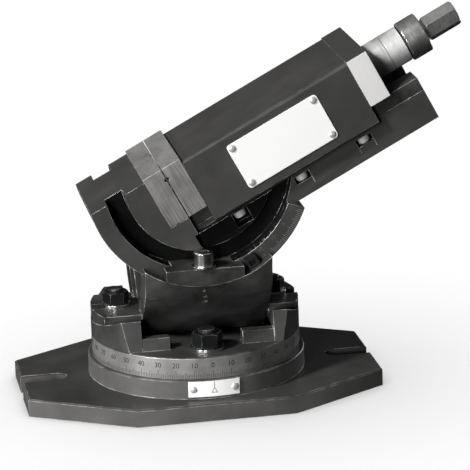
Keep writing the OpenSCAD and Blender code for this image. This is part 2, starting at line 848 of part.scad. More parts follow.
module thrust_bracket() {
    bottom = -rail_top + 2 * slide_gap;
    color(machined) in_vise() difference() {
        translate([slide_end, -slide_width / 2, bottom])
            cube([bracket_thick, slide_width, slide_top + 0.6 - bottom]);
        translate([slide_end - cut, 0, -screw_drop]) rod_x(journal_d / 2 + shaft_gap, bracket_thick + 2 * cut);
        translate([bracket_end - 4, 0, -screw_drop]) rod_x(sleeve_d / 2 - 2, 4 + cut);
        for (side = [-1, 1]) {
            for (z = bracket_screw_z) {
                translate([slide_end - cut, side * bracket_screw_y, z]) rod_x(m8_hole / 2, bracket_thick + 2 * cut);
                translate([bracket_end - m8_sink, side * bracket_screw_y, z])
                    rod_x(m8_head_d / 2 + 0.3, m8_sink + 0.5);
            }
        }
    }
}

module bracket_screws() {
    color(steel) in_vise() for (side = [-1, 1]) {
        for (z = bracket_screw_z) {
            translate([bracket_end - m8_sink, side * bracket_screw_y, z]) rotate([0, 90, 0])
                socket_screw(m8, m8_head_d, m8_head_h, bracket_screw_length);
        }
    }
}

module bearing_sleeve() {
    color(machined) in_vise() translate([bracket_end, 0, -screw_drop]) difference() {
        union() {
            translate([-4, 0, 0]) rod_x(sleeve_d / 2 - 2.02, 5);
            rod_x(sleeve_d / 2, sleeve_length);
        }
        translate([-4 - cut, 0, 0]) rod_x(journal_d / 2 + shaft_gap, sleeve_length + 4 + 2 * cut);
        // Turned groove near the root
        translate([18, 0, 0]) difference() {
            rod_x(sleeve_d, 1);
            translate([-cut, 0, 0]) rod_x(sleeve_d / 2 - 0.7, 1 + 2 * cut);
        }
    }
}

module thrust_washer() {
    color(blacked) in_vise() translate([sleeve_end, 0, -screw_drop]) difference() {
        rod_x(sleeve_d / 2 - 1, thrust_washer_h - 0.1);
        translate([-cut, 0, 0]) rod_x(journal_d / 2 + shaft_gap, thrust_washer_h + 2 * cut);
    }
}

module name_plate() {
    corner = 3;
    color(bright) in_vise() translate([name_start, -slide_width / 2, 10 - name_height]) rotate([90, 0, 0])
        linear_extrude(0.8) hull() {
            for (x = [corner, name_length - corner]) {
                for (z = [corner, name_height - corner]) {
                    translate([x, z]) circle(r = corner, $fn = 32);
                }
            }
        }
}

module name_plate_rivets() {
    color(steel) in_vise() translate([name_start, -slide_width / 2 - 0.8, 10 - name_height]) {
        for (x = [3.5, name_length - 3.5]) {
            for (z = [3.5, name_height - 3.5]) {
                translate([x, 0, z]) rotate([90, 0, 0]) cylinder(d1 = 3.2, d2 = 2, h = 0.8, $fn = 32);
            }
        }
    }
}

module spindle() {
    color(bright) in_vise() translate([0, 0, -screw_drop]) {
        translate([screw_tip, 0, 0]) rod_x(screw_thread / 2, slide_end - screw_tip + cut);
        translate([slide_end, 0, 0]) rod_x(journal_d / 2, collar_start - slide_end + cut);
        translate([collar_start, 0, 0]) rotate([0, 90, 0]) {
            cylinder(d1 = collar_d - 1.6, d2 = collar_d, h = 0.8, $fn = 64);
            translate([0, 0, 0.8]) cylinder(d = collar_d, h = collar_length - 1.6);
            translate([0, 0, collar_length - 0.8]) cylinder(d1 = collar_d, d2 = collar_d - 1.6, h = 0.8, $fn = 64);
            cylinder(d = hex_flats - 1, h = collar_length + 4);
        }
        translate([hex_start, 0, 0]) rotate([0, 90, 0]) intersection() {
            cylinder(d = hex_flats / cos(30), h = hex_length, $fn = 6);
            union() {
                cylinder(d1 = hex_flats - 0.5, d2 = hex_flats / cos(30) + 0.02, h = 1.6, $fn = 48);
                translate([0, 0, 1.6]) cylinder(d = hex_flats / cos(30) + 0.02, h = hex_length - 3.2);
                translate([0, 0, hex_length - 1.6])
                    cylinder(d1 = hex_flats / cos(30) + 0.02, d2 = hex_flats - 0.5, h = 1.6, $fn = 48);
            }
        }
    }
}

module thrust_ring() {
    color(steel) in_vise() translate([slide_end - thrust_ring_h - 0.1, 0, -screw_drop]) difference() {
        rod_x(thrust_ring_r, thrust_ring_h);
        translate([-cut, 0, 0]) rod_x(screw_thread / 2 + 0.02, thrust_ring_h + 2 * cut);
        translate([thrust_ring_h / 2, 0, 0]) cylinder(d = 3, h = thrust_ring_r + cut);
    }
}

module thrust_ring_pin() {
    color(blacked) in_vise() translate([slide_end - thrust_ring_h / 2 - 0.1, 0, -screw_drop + screw_thread / 2])
        cylinder(d = 3, h = thrust_ring_r - screw_thread / 2 - 0.3);
}

base_plate();
pivot_pin();
index_plate();
index_plate_rivets();
turntable();
swivel_bolts();
swivel_washers();
swivel_nuts();
cradle();
lean_bolts();
lean_washers();
lean_nuts();
clamp_block_front();
clamp_block_rear();
clamp_washers();
clamp_screws();
tilt_pointer();
vise_body();
guide_rail_front();
guide_rail_rear();
guide_rail_screws();
spindle_nut();
spindle_nut_screws();
fixed_jaw_plate();
fixed_jaw_screws();
movable_jaw();
movable_jaw_plate();
movable_jaw_screws();
keeper_plate();
keeper_screws();
thrust_bracket();
bracket_screws();
bearing_sleeve();
thrust_washer();
name_plate();
name_plate_rivets();
spindle();
thrust_ring();
thrust_ring_pin();
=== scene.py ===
"""A three-axis machine vise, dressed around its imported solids. Metres, in the same frame as the CAD."""

import logging
import math
from dataclasses import dataclass, field
from enum import Enum

import bmesh
import bpy
from mathutils import Matrix, Vector


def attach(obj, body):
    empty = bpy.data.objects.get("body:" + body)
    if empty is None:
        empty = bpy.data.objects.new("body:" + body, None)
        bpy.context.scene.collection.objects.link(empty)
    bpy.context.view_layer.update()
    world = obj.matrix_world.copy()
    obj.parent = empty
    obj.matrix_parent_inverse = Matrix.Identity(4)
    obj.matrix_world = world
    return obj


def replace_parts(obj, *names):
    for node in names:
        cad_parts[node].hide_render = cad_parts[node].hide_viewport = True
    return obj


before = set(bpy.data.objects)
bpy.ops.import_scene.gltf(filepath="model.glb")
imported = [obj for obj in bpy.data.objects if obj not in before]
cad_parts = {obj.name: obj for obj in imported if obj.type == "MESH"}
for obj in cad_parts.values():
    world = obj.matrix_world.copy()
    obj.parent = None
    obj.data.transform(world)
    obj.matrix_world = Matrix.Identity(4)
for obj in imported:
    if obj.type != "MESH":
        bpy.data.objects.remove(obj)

log = logging.getLogger("vise")
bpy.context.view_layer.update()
MM = 0.001
AXIS_HEIGHT = 188.9 * MM
TILT = math.radians(27.5)
AXIS_POINT = Vector((0.0, 0.0, AXIS_HEIGHT))
VISE_TURN = Matrix.Rotation(-TILT, 4, "Y")
VISE_PLACE = Matrix.Translation(AXIS_POINT) @ VISE_TURN
BAND_INNER = 86.1 * MM
BAND_TOP = 47.55 * MM
BASE_SIDE_TOP = 13.2 * MM
BOSS_RADIUS = 90.0 * MM
BOSS_TOP = 29.5 * MM
BRACKET_FACE = 49.2 * MM
SCREW_AXIS = -6.8 * MM
# Bright edge colour below is part wear and part painted highlight.
WEAR_AND_HIGHLIGHT_GAIN = 22.0
WEAR_AND_HIGHLIGHT_METALLIC = 0.35
WEAR_AND_HIGHLIGHT_ROUGHNESS = 0.38
PATCH_SCALE = 110.0
PATCH_LEVEL = 0.5
PATCH_CONTRAST = 7.0
PATCH_FLOOR = 0.12
CLOUD_SCALE = 28.0
BUMP_DISTANCE = 0.2 * MM
TURNED_FINENESS = 3500.0
SHARP_ANGLE = math.radians(32)
SMOOTH_ANGLE = math.radians(35)

Colour = tuple[float, float, float]


class Body(str, Enum):
    """The rigid bodies that pieces ride on."""

    BASE = "base"
    TURNTABLE = "turntable"
    CRADLE = "cradle"
    VISE = "vise"
    JAW = "jaw"
    SPINDLE = "spindle"


class Lay(Enum):
    """How the tool marks of a finish run."""

    NONE = "none"
    ALONG_SCREW = "along_screw"
    UP_JAW = "up_jaw"
    ROUND_SCREW = "round_screw"
    ROUND_UPRIGHT = "round_upright"


# ---- shader groups shared by the finishes


@dataclass
class Wiring:
    """A node tree, with short ways to add nodes and join them."""

    tree: bpy.types.NodeTree

    def node(self, kind: str, **settings: object) -> bpy.types.Node:
        """Adds a node.

        Args:
            kind: the node's type name.
            settings: properties to set on it.

        Returns:
            The new node.
        """
        made = self.tree.nodes.new(kind)
        for key, value in settings.items():
            setattr(made, key, value)
        return made

    def feed(self, socket: bpy.types.NodeSocket, value: object) -> None:
        """Gives an input its number, colour or source.

        Args:
            socket: the input.
            value: a number, a colour or another node's socket.
        """
        if isinstance(value, tuple):
            socket.default_value = (*value, 1.0)
        elif isinstance(value, (int, float)):
            socket.default_value = value
        else:
            self.tree.links.new(value, socket)

    def maths(self, operation: str, *values: object) -> bpy.types.NodeSocket:
        """Adds a Math node.

        Args:
            operation: what it does.
            values: numbers or sockets for its inputs.

        Returns:
            Its output socket.
        """
        made = self.node("ShaderNodeMath", operation=operation)
        for socket, value in zip(made.inputs, values):
            self.feed(socket, value)
        return made.outputs[0]

    def split(self, vector: bpy.types.NodeSocket) -> bpy.types.bpy_prop_collection:
        """Parts a vector, and returns the outputs X, Y and Z."""
        made = self.node("ShaderNodeSeparateXYZ")
        self.feed(made.inputs[0], vector)
        return made.outputs

    def limited(self, value: bpy.types.NodeSocket, low: float = 0.0) -> bpy.types.NodeSocket:
        """Keeps a value between a low limit and one.

        Args:
            value: the value.
            low: the low limit.

        Returns:
            The limited value.
        """
        made = self.node("ShaderNodeClamp")
        made.inputs["Min"].default_value = low
        self.feed(made.inputs["Value"], value)
        return made.outputs[0]

    def group(self, shared: bpy.types.NodeTree, vector: bpy.types.NodeSocket, **numbers: float) -> bpy.types.Node:
        """Places a shared group.

        Args:
            shared: the group.
            vector: the coordinates it works on.
            numbers: its other inputs, by name.

        Returns:
            The group's node.
        """
        made = self.node("ShaderNodeGroup", node_tree=shared)
        self.feed(made.inputs["Vector"], vector)
        for name, value in numbers.items():
            self.feed(made.inputs[name], value)
        return made

    def mix(self, kind: str, factor: bpy.types.NodeSocket, first: object, second: object) -> bpy.types.NodeSocket:
        """Mixes two numbers or two colours.

        Args:
            kind: FLOAT or RGBA.
            factor: how much of the second.
            first: a number, a colour or a socket.
            second: the same.

        Returns:
            The mixed value's socket.
        """
        made = self.node("ShaderNodeMix", data_type=kind)
        start, out = (2, 0) if kind == "FLOAT" else (6, 2)
        self.feed(made.inputs[0], factor)
        self.feed(made.inputs[start], first)
        self.feed(made.inputs[start + 1], second)
        return made.outputs[out]

    def tint(self, colour: Colour, amount: bpy.types.NodeSocket) -> bpy.types.NodeSocket:
        """Scales a colour.

        Args:
            colour: the colour.
            amount: the varying amount.

        Returns:
            The scaled colour's socket.
        """
        made = self.node("ShaderNodeVectorMath", operation="SCALE")
        made.inputs[0].default_value = colour
        self.feed(made.inputs["Scale"], amount)
        return made.outputs[0]


@dataclass
class ShaderGroup(Wiring):
    """A node group that takes a vector and some numbers."""

    tree: bpy.types.NodeTree = field(init=False)
    name: str
    numbers: dict[str, float]
    outputs: dict[str, str]
    taken: bpy.types.bpy_prop_collection = field(init=False)
    sink: bpy.types.Node = field(init=False)

    def __post_init__(self) -> None:
        """Makes the tree, its sockets and its two end nodes."""
        self.tree = bpy.data.node_groups.new(self.name, "ShaderNodeTree")
        self.tree.interface.new_socket("Vector", in_out="INPUT", socket_type="NodeSocketVector")
        for name, default in self.numbers.items():
            socket = self.tree.interface.new_socket(name, in_out="INPUT", socket_type="NodeSocketFloat")
            socket.default_value = default
        for name, kind in self.outputs.items():
            self.tree.interface.new_socket(name, in_out="OUTPUT", socket_type=f"NodeSocket{kind}")
        self.taken = self.node("NodeGroupInput").outputs
        self.sink = self.node("NodeGroupOutput")

    def give(self, name: str, value: bpy.types.NodeSocket) -> None:
        """Sends a value to one of the group's outputs."""
        self.feed(self.sink.inputs[name], value)

    def noise(
        self, vector: bpy.types.NodeSocket, scale: object, detail: float, rough: float = 0.5
    ) -> bpy.types.NodeSocket:
        """Adds a noise texture.

        Args:
            vector: its coordinates.
            scale: its scale, a number or a socket.
            detail: how many finer layers it has.
            rough: how strong they are.

        Returns:
            Its value.
        """
        made = self.node("ShaderNodeTexNoise")
        made.inputs["Detail"].default_value = detail
        made.inputs["Roughness"].default_value = rough
        self.feed(made.inputs["Vector"], vector)
        self.feed(made.inputs["Scale"], scale)
        return made.outputs[0]


def edge_wear_and_highlight_group() -> bpy.types.NodeTree:
    """Makes the group that finds edges: a mask of the edges that get bright colour, part wear and part painted
    highlight, and a softened normal.

    Returns:
        The node tree.
    """
    group = ShaderGroup("edge_wear_and_highlight", {"Radius": 0.0008, "Patchiness": 0.5}, {"Mask": "Float", "Normal": "Vector"})
    bevel = group.node("ShaderNodeBevel", samples=6)
    group.feed(bevel.inputs["Radius"], group.taken["Radius"])
    dot = group.node("ShaderNodeVectorMath", operation="DOT_PRODUCT")
    group.feed(dot.inputs[0], bevel.outputs[0])
    group.feed(dot.inputs[1], group.node("ShaderNodeNewGeometry").outputs["Normal"])
    lifted = group.maths("MULTIPLY", group.maths("SUBTRACT", 1.0, dot.outputs["Value"]), WEAR_AND_HIGHLIGHT_GAIN)
    patches = group.noise(group.taken["Vector"], PATCH_SCALE, 5.0)
    spared = group.maths("SUBTRACT", patches, group.taken["Patchiness"])
    stretches = group.limited(group.maths("MULTIPLY_ADD", spared, PATCH_CONTRAST, 0.5), PATCH_FLOOR)
    group.give("Mask", group.maths("MULTIPLY", group.limited(lifted), stretches))
    group.give("Normal", bevel.outputs[0])
    return group.tree


def surface_group() -> bpy.types.NodeTree:
    """Makes the group with slow clouding and fine grain.

    Returns:
        The node tree.
    """
    group = ShaderGroup(
        "surface_variation", {"Cloud Scale": 30.0, "Grain Scale": 900.0}, {"Cloud": "Float", "Grain": "Float"}
    )
    for name, detail in (("Cloud", 6.0), ("Grain", 3.0)):
        group.give(name, group.noise(group.taken["Vector"], group.taken[f"{name} Scale"], detail, 0.6))
    return group.tree


def tool_mark_group() -> bpy.types.NodeTree:
    """Makes the group of long fine tool marks, stretched along X of the vector it is given.

    Returns:
        The node tree.
    """
    group = ShaderGroup("tool_marks", {"Fineness": 2500.0}, {"Marks": "Float"})
    stretch = group.node("ShaderNodeVectorMath", operation="MULTIPLY")
    stretch.inputs[1].default_value = (0.02, 1.0, 1.0)
    group.feed(stretch.inputs[0], group.taken["Vector"])
    group.give("Marks", group.noise(stretch.outputs[0], group.taken["Fineness"], 4.0))
    return group.tree


def round_marks_group() -> bpy.types.NodeTree:
    """Makes the group that turns a vector into one whose X follows the circle round the Z axis.

    Returns:
        The node tree.
    """
    group = ShaderGroup("round_axis", {}, {"Vector": "Vector"})
    x, y, z = group.split(group.taken["Vector"])
    squares = group.maths("ADD", group.maths("MULTIPLY", x, x), group.maths("MULTIPLY", y, y))
    joined = group.node("ShaderNodeCombineXYZ")
    group.feed(joined.inputs["X"], group.maths("MULTIPLY", group.maths("ARCTAN2", y, x), 0.05))
    group.feed(joined.inputs["Y"], group.maths("SQRT", squares))
    group.feed(joined.inputs["Z"], z)
    group.give("Vector", joined.outputs[0])
    return group.tree


@dataclass(frozen=True)
class ShaderKit:
    """The shared groups."""

    edges: bpy.types.NodeTree
    surface: bpy.types.NodeTree
    marks: bpy.types.NodeTree
    round_axis: bpy.types.NodeTree


KIT = ShaderKit(edge_wear_and_highlight_group(), surface_group(), tool_mark_group(), round_marks_group())


# ---- finishes


class Place(Enum):
    """Where a second, machined surface lies on a casting."""

    BASE_SIDES = "base_sides"
    TABLE_BAND = "table_band"
    OUTER_FACES = "outer_faces"


@dataclass(frozen=True)
class Zone:
    """A machined surface on part of a piece; on the base its lighter colour also holds painted light."""

    place: Place
    colour: Colour
    roughness: float
    metallic: float


@dataclass(frozen=True)
class Finish:
    """One surface finish and how it is made."""

    name: str
    colour: Colour
    roughness: float
    metallic: float = 0.0
    cloud: float = 0.15
    grain: float = 0.1
    grain_scale: float = 900.0
    wear_and_highlight: float = 0.0
    wear_and_highlight_colour: Colour = (0.62, 0.61, 0.59)
    edge_radius: float = 0.6 * MM
    lay: Lay = Lay.NONE
    marks: float = 0.0
    fineness: float = 2500.0
    specular: float = 0.5
    zone: Zone | None = None

    def build(self) -> bpy.types.Material:
        """Makes the material once and keeps it.

        Returns:
            The material.
        """
        made = bpy.data.materials.get(self.name)
        if made:
            return made
        made = bpy.data.materials.new(self.name)
        made.use_nodes = True
        web = Wiring(made.node_tree)
        shader = web.tree.nodes["Principled BSDF"]
        shader.inputs["Specular IOR Level"].default_value = self.specular
        place = web.node("ShaderNodeTexCoord").outputs["Object"]
        scales = {"Cloud Scale": CLOUD_SCALE, "Grain Scale": self.grain_scale}
        surface = web.group(KIT.surface, place, **scales)
        edges = web.group(KIT.edges, place, Radius=self.edge_radius, Patchiness=PATCH_LEVEL)
        height = surface.outputs["Grain"]
        clouded = web.maths("MULTIPLY_ADD", surface.outputs["Cloud"], self.cloud * 2, 1 - self.cloud)
        if self.lay is not Lay.NONE:
            height = web.group(KIT.marks, self._along_lay(web, place), Fineness=self.fineness).outputs["Marks"]
            streaks = web.maths("MULTIPLY_ADD", height, self.marks * 2, 1 - self.marks)
            clouded = web.maths("MULTIPLY", clouded, streaks)
        base = web.tint(self.colour, clouded)
        rough = web.maths("MULTIPLY", clouded, self.roughness)
        metal: object = self.metallic
        if self.zone:
            mask = self._zone_mask(web, place)
            base = web.mix("RGBA", mask, base, self._turned_colour(web, place, clouded))
            rough = web.mix("FLOAT", mask, rough, self.zone.roughness)
            metal = web.mix("FLOAT", mask, metal, self.zone.metallic)
        # Bright colour on the edges: part wear, part painted highlight standing in for the light the edges catch.
        if self.wear_and_highlight > 0:
            worn_and_highlit = web.maths("MULTIPLY", edges.outputs["Mask"], self.wear_and_highlight)
            base = web.mix("RGBA", worn_and_highlit, base, self.wear_and_highlight_colour)
            metal = web.mix("FLOAT", worn_and_highlit, metal, WEAR_AND_HIGHLIGHT_METALLIC)
            rough = web.mix("FLOAT", worn_and_highlit, rough, WEAR_AND_HIGHLIGHT_ROUGHNESS)
        bump = web.node("ShaderNodeBump")
        bump.inputs["Strength"].default_value = self.grain
        bump.inputs["Distance"].default_value = BUMP_DISTANCE
        web.feed(bump.inputs["Height"], height)
        web.feed(bump.inputs["Normal"], edges.outputs["Normal"])
        ends = {"Base Color": base, "Roughness": rough, "Metallic": metal, "Normal": bump.outputs[0]}
        for name, value in ends.items():
            web.feed(shader.inputs[name], value)
        return made

    def _along_lay(self, web: Wiring, place: bpy.types.NodeSocket) -> bpy.types.NodeSocket:
        """Turns Object coordinates so that X runs along the tool marks.

        Args:
            web: the material's wiring.
            place: the Object coordinates.

        Returns:
            The turned coordinates.
        """
        if self.lay is Lay.ROUND_UPRIGHT:
            return web.group(KIT.round_axis, place).outputs[0]
        angle = TILT + {Lay.ALONG_SCREW: 0.0, Lay.UP_JAW: math.pi / 2, Lay.ROUND_SCREW: -math.pi / 2}[self.lay]
        centre = VISE_PLACE @ Vector((0.0, 0.0, SCREW_AXIS)) if self.lay is Lay.ROUND_SCREW else AXIS_POINT
        mapping = web.node("ShaderNodeMapping")
        web.feed(mapping.inputs["Vector"], place)
        mapping.inputs["Rotation"].default_value = (0.0, angle, 0.0)
        mapping.inputs["Location"].default_value = -(Matrix.Rotation(angle, 4, "Y") @ centre)
        if self.lay is Lay.ROUND_SCREW:
            return web.group(KIT.round_axis, mapping.outputs[0]).outputs[0]
        return mapping.outputs[0]

    def _zone_mask(self, web: Wiring, place: bpy.types.NodeSocket) -> bpy.types.NodeSocket:
        """Finds where the machined surface lies.

        Args:
            web: the material's wiring.
            place: the Object coordinates.

        Returns:
            The mask.
        """
        _, y, _ = web.split(place)
        if self.zone.place is Place.OUTER_FACES:
            return web.maths("GREATER_THAN", web.maths("ABSOLUTE", y), BRACKET_FACE)
        _, radius, z = web.split(web.group(KIT.round_axis, place).outputs[0])
        if self.zone.place is Place.TABLE_BAND:
            outside = web.maths("GREATER_THAN", radius, BAND_INNER)
            return web.maths("MULTIPLY", outside, web.maths("LESS_THAN", z, BAND_TOP))
        boss = web.maths("COMPARE", radius, BOSS_RADIUS, 0.3 * MM)
        boss = web.maths("MULTIPLY", boss, web.maths("LESS_THAN", z, BOSS_TOP))
        return web.maths("MAXIMUM", web.maths("LESS_THAN", z, BASE_SIDE_TOP), boss)

    def _turned_colour(
        self, web: Wiring, place: bpy.types.NodeSocket, clouded: bpy.types.NodeSocket
    ) -> bpy.types.NodeSocket:
        """Colours the machined surface with fine marks round the upright axis.

        Args:
            web: the material's wiring.
            place: the Object coordinates.
            clouded: the variation that it shares with the casting.

        Returns:
            The colour's socket.
        """
        around = web.group(KIT.round_axis, place).outputs[0]
        marks = web.group(KIT.marks, around, Fineness=TURNED_FINENESS)
        streaks = web.maths("MULTIPLY_ADD", marks.outputs[0], 0.35, 0.83)
        return web.tint(self.zone.colour, web.maths("MULTIPLY", streaks, clouded))


CASTING = Finish("blackened_casting", (0.03, 0.0297, 0.029), 0.4, cloud=1.5, grain=0.35, grain_scale=1100.0,
                 wear_and_highlight=0.9, specular=0.35)
# Near-black colour of the ring's groove and recess: painted shade.
RECESS_SHADE = Finish("recess_painted_shade", (0.003, 0.0032, 0.0034), 0.35, cloud=0.3, grain=0.5, grain_scale=900.0,
                wear_and_highlight=0.8, specular=0.15)
# The base's sides and the boss's side are lighter: milled metal, and partly painted light standing in for the light
# the floor throws back up.
BASE_CASTING = Finish("base_casting", (0.034, 0.0335, 0.0325), 0.42, cloud=0.7, grain=0.3, grain_scale=1300.0,
                      wear_and_highlight=0.85, specular=0.3, zone=Zone(Place.BASE_SIDES, (0.075, 0.0738, 0.0716), 0.45, 0.1))
JAW_CASTING = Finish("milled_black_iron", (0.037, 0.0365, 0.0352), 0.42, cloud=0.4, grain=0.15, grain_scale=1500.0,
                     wear_and_highlight=0.75, specular=0.3, lay=Lay.ALONG_SCREW, marks=0.08, fineness=1800.0)
TABLE = Finish("turntable_casting", (0.032, 0.0317, 0.031), 0.42, cloud=1.0, grain=0.3, wear_and_highlight=0.85, specular=0.3,
               zone=Zone(Place.TABLE_BAND, (0.25, 0.247, 0.242), 0.36, 0.6))
GROUND_JAW = Finish("ground_jaw_steel", (0.2, 0.197, 0.192), 0.42, metallic=0.35, cloud=0.7, grain=0.4,
                    wear_and_highlight=0.35, lay=Lay.UP_JAW, marks=0.75, fineness=1100.0)
RAIL_STEEL = Finish("rail_steel", (0.035, 0.0345, 0.033), 0.42, metallic=0.3, cloud=1.6, grain=0.4, wear_and_highlight=0.6,
                    specular=0.3, lay=Lay.ALONG_SCREW, marks=0.4, fineness=1500.0)
BRACKET = Finish("milled_bracket", (0.036, 0.0355, 0.034), 0.42, cloud=0.1, grain=0.2, wear_and_highlight=0.5, specular=0.3,
                 lay=Lay.UP_JAW, marks=0.08, fineness=1800.0,
                 zone=Zone(Place.OUTER_FACES, (0.6, 0.595, 0.585), 0.42, 0.1))
TURNED = Finish("turned_screw_steel", (0.62, 0.62, 0.61), 0.27, metallic=0.95, cloud=0.7, grain=0.25, wear_and_highlight=0.4,
                lay=Lay.ROUND_SCREW, marks=0.3, fineness=1800.0)
SLEEVE = Finish("turned_sleeve_steel", (0.55, 0.55, 0.54), 0.55, metallic=0.45, cloud=1.0, grain=0.35, wear_and_highlight=0.3,
                lay=Lay.ROUND_SCREW, marks=0.25, fineness=1500.0)
BRIGHT = Finish("bright_fastener", (0.68, 0.68, 0.66), 0.22, metallic=1.0, cloud=0.08, grain=0.08,
                lay=Lay.ROUND_UPRIGHT, marks=0.1, fineness=2600.0)
BLACKED = Finish("blacked_nut", (0.004, 0.0042, 0.0046), 0.34, metallic=0.0, cloud=0.4, grain=0.35, wear_and_highlight=0.3,
                 wear_and_highlight_colour=(0.4, 0.4, 0.4), specular=0.3)
BLACKED_BOLT = Finish("blacked_bolt", (0.02, 0.02, 0.021), 0.3, metallic=0.5, cloud=0.3, grain=0.2, wear_and_highlight=0.3,
                      wear_and_highlight_colour=(0.5, 0.5, 0.5))
# Near-black colour for the tilt pointer, and painted shade inside the cradle's drill holes.
DARK_POINTER_AND_HOLE_SHADE = Finish("dark_pointer_and_hole_shade", (0.008, 0.008, 0.0085), 0.5, cloud=0.3, grain=0.3, specular=0.2)
PALE_HEAD = Finish("pale_screw_head", (0.6, 0.6, 0.59), 0.35, metallic=0.35, cloud=0.3, grain=0.2)
PLATE = Finish("satin_plate", (0.8, 0.8, 0.79), 0.38, metallic=0.1, cloud=0.03, grain=0.04,
               grain_scale=2500.0)
ETCHED = Finish("dark_graduation", (0.02, 0.02, 0.02), 0.6, cloud=0.1, grain=0.0)
BARE_LINE = Finish("bare_graduation", (0.22, 0.217, 0.213), 0.45, metallic=0.3, cloud=0.2, grain=0.0)
DULL_LINE = Finish("dull_figure", (0.07, 0.069, 0.067), 0.5, cloud=0.2, grain=0.0)
HEADS = Finish("rivet_heads", (0.62, 0.62, 0.61), 0.3, metallic=0.55, cloud=0.1, grain=0.1)

FINISHED_NODES: tuple[tuple[Finish, str], ...] = (
    (BASE_CASTING, "base_plate"),
    (
        BRIGHT,
        "pivot_pin index_plate_rivets swivel_washers lean_washers clamp_washers clamp_screws "
        "spindle_nut_screws fixed_jaw_screws movable_jaw_screws keeper_screws bracket_screws "
        "name_plate_rivets",
    ),
    (PLATE, "index_plate name_plate"),
    (TABLE, "turntable"),
    (BLACKED_BOLT, "swivel_bolts lean_bolts"),
    (BLACKED, "swivel_nuts lean_nuts thrust_washer thrust_ring_pin"),
    (CASTING, "cradle clamp_block_front clamp_block_rear"),
    (DARK_POINTER_AND_HOLE_SHADE, "tilt_pointer"),
    (JAW_CASTING, "vise_body movable_jaw"),
    (RAIL_STEEL, "guide_rail_front guide_rail_rear spindle_nut keeper_plate"),
    (PALE_HEAD, "guide_rail_screws"),
    (GROUND_JAW, "fixed_jaw_plate movable_jaw_plate"),
    (BRACKET, "thrust_bracket"),
    (SLEEVE, "bearing_sleeve"),
    (TURNED, "spindle thrust_ring"),
)


# ---- helpers for meshes


def placed(name: str, data: bpy.types.ID) -> bpy.types.Object:
    """Makes an object of a mesh, curve, camera or lamp and links it into the scene.

    Args:
        name: the object's name.
        data: what it holds.

    Returns:
        The object.
    """
    made = bpy.data.objects.new(name, data)
    bpy.context.scene.collection.objects.link(made)
    return made


def add_piece(name: str, mesh: bpy.types.Mesh, finish: Finish, body: Body) -> bpy.types.Object:
    """Puts a finished mesh in the scene and makes it ride on its body.

    Args:
        name: the piece's name.
        mesh: its mesh, in place.
        finish: its surface.
        body: what it moves with.

    Returns:
        The object.
    """
    piece = placed(name, mesh)
    mesh.materials.clear()
    mesh.materials.append(finish.build())
    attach(piece, body.value)
    log.info("%s: %d faces on %s", name, len(mesh.polygons), body.value)
    return piece


def mesh_from(shape: bmesh.types.BMesh, name: str, smooth: bool = False) -> bpy.types.Mesh:
    """Turns a bmesh into a mesh and frees it.

    Args:
        shape: the bmesh.
        name: the mesh's name.
        smooth: whether its curved faces are shaded smooth.

    Returns:
        The mesh.
    """
    mesh = bpy.data.meshes.new(name)
    shape.to_mesh(mesh)
    shape.free()
    if smooth:
        mesh.shade_smooth()
        mesh.set_sharp_from_angle(angle=SMOOTH_ANGLE)
    return mesh


def text_mesh(words: str, height: float, thickness: float) -> bpy.types.Mesh:
    """Makes flat figures, centred on the origin in X and Y.

    Args:
        words: the figures.
        height: their height.
        thickness: how thick they are along Z.

    Returns:
        The mesh.
    """
    curve = bpy.data.curves.new(f"figures_{words}", "FONT")
    curve.body = words
    curve.size = height * 1.38
    curve.align_x = "CENTER"
    curve.align_y = "CENTER"
    curve.extrude = thickness / 2
    curve.resolution_u = 3
    holder = placed("figures", curve)
    made = bpy.data.meshes.new_from_object(holder.evaluated_get(bpy.context.evaluated_depsgraph_get()))
    bpy.data.objects.remove(holder)
    bpy.data.curves.remove(curve)
    return made


def ticks_mesh(name: str, rows: list[tuple[Matrix, float, float]], width: float, depth: float) -> bpy.types.Mesh:
    """Makes the ticks of a scale.

    Args:
        name: the mesh's name.
        rows: each tick's frame, the place of its middle along Y and its length.
        width: how wide the ticks are.
        depth: how thick they are.

    Returns:
        The mesh.
    """
    shape = bmesh.new()
    for place, middle, length in rows:
        centre = Matrix.Translation((0.0, middle, 0.0))
        box = Matrix.Diagonal((width, length, depth, 1.0))
        bmesh.ops.create_cube(shape, size=1.0, matrix=place @ centre @ box)
    return mesh_from(shape, name)


def figures_mesh(
    name: str, rows: list[tuple[Matrix, int]], level: float, height: float, depth: float
) -> bpy.types.Mesh:
    """Makes the figures of a scale.

    Args:
        name: the mesh's name.
        rows: each figure's frame and its reading, whose sign is left off.
        level: where the figures stand along Y.
        height: how high they are.
        depth: how thick they are.

    Returns:
        The mesh.
    """
    shape = bmesh.new()
    for place, reading in rows:
        figures = text_mesh(str(abs(reading)), height, depth)
        figures.transform(place @ Matrix.Translation((0.0, level, 0.0)))
        shape.from_mesh(figures)
        bpy.data.meshes.remove(figures)
    return mesh_from(shape, name)


def join_flush(shape: bmesh.types.BMesh) -> None:
    """Joins faces that lie flush."""
    bmesh.ops.remove_doubles(shape, verts=shape.verts, dist=0.002 * MM)
    bmesh.ops.dissolve_limit(shape, angle_limit=math.radians(0.6), verts=shape.verts, edges=shape.edges)


def bevel_sharp(shape: bmesh.types.BMesh, width: float, least: float, segments: int = 2) -> None:
    """Bevels the long sharp edges.

    Args:
        shape: the bmesh to change.
        width: the bevel's width.
        least: the shortest edge that is bevelled.
        segments: faces across the bevel.
    """
    sharp = [
        e
        for e in shape.edges
        if len(e.link_faces) == 2 and e.calc_face_angle(0.0) > SHARP_ANGLE and e.calc_length() > least
    ]
    bmesh.ops.bevel(shape, geom=sharp, offset=width, offset_type="OFFSET", segments=segments, profile=0.5,
                    affect="EDGES", clamp_overlap=True, material=-1)


